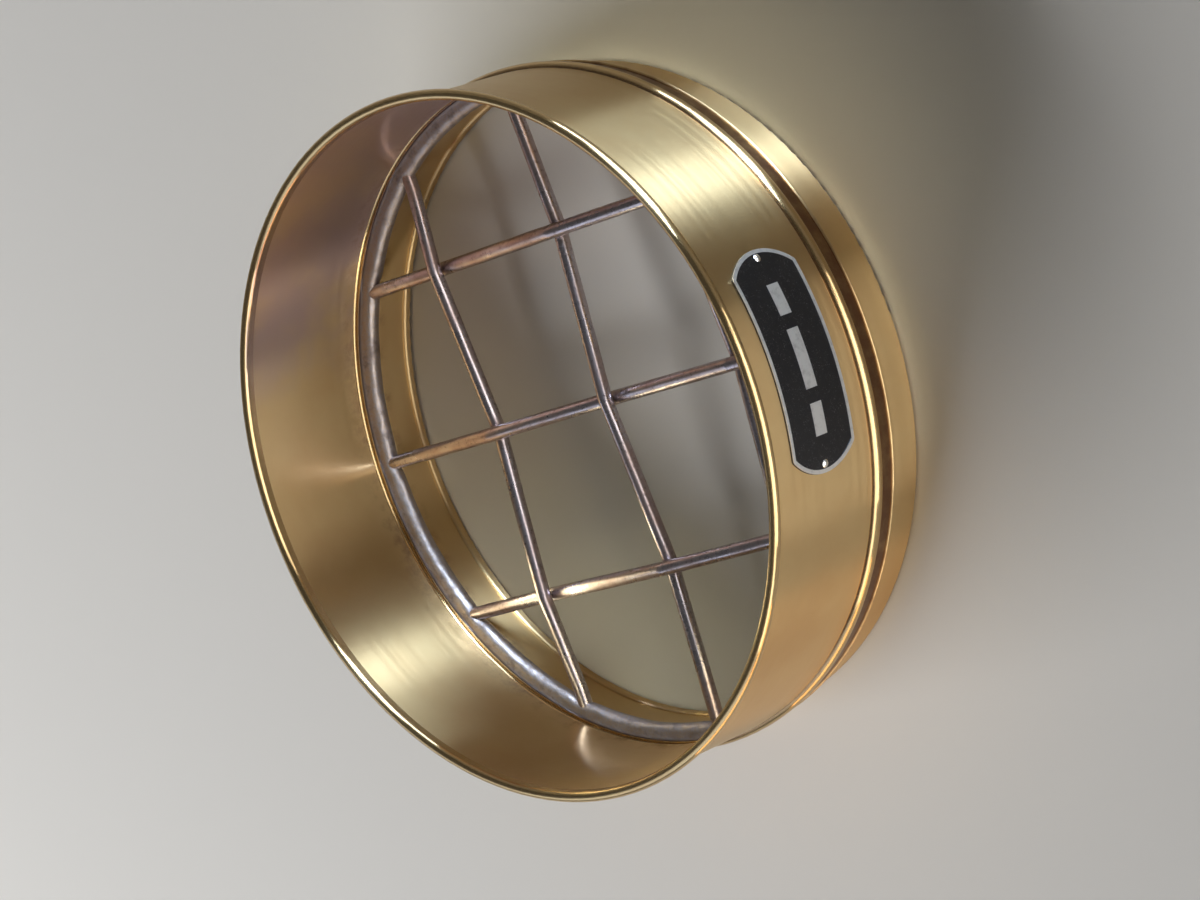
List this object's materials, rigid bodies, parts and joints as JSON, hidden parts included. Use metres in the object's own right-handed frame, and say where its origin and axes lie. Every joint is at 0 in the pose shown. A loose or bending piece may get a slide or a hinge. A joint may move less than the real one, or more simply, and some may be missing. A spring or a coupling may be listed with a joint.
{
  "type": "test sieve",
  "caption": "Coarse woven-wire test sieve: a round brass frame with a rolled rim, crimped wires soldered at its foot, a nesting skirt and a name plate.",
  "frame": {"origin": "middle of the skirt's bottom edge, on the frame's axis", "axes": "+Z along the frame's axis towards the open rim, name plate facing -Y, wires along X and Y"},
  "size_m": [0.2096, 0.2096, 0.068],
  "materials": {
    "brass": "brushed",
    "solder": "dull tin solder",
    "wire": "drawn, satin",
    "plate": "black etched fields with bare metal border",
    "pin": "polished heads"
  },
  "bodies": {
    "root": {"frame_body": "brass", "skirt_ring": "brass", "solder_ring": "solder", "warp_wire_1": "wire", "warp_wire_2": "wire", "warp_wire_3": "wire", "weft_wire_1": "wire", "weft_wire_2": "wire", "weft_wire_3": "wire", "name_plate": "plate", "plate_pin_left": "pin", "plate_pin_right": "pin"}
  },
  "joints": []
}
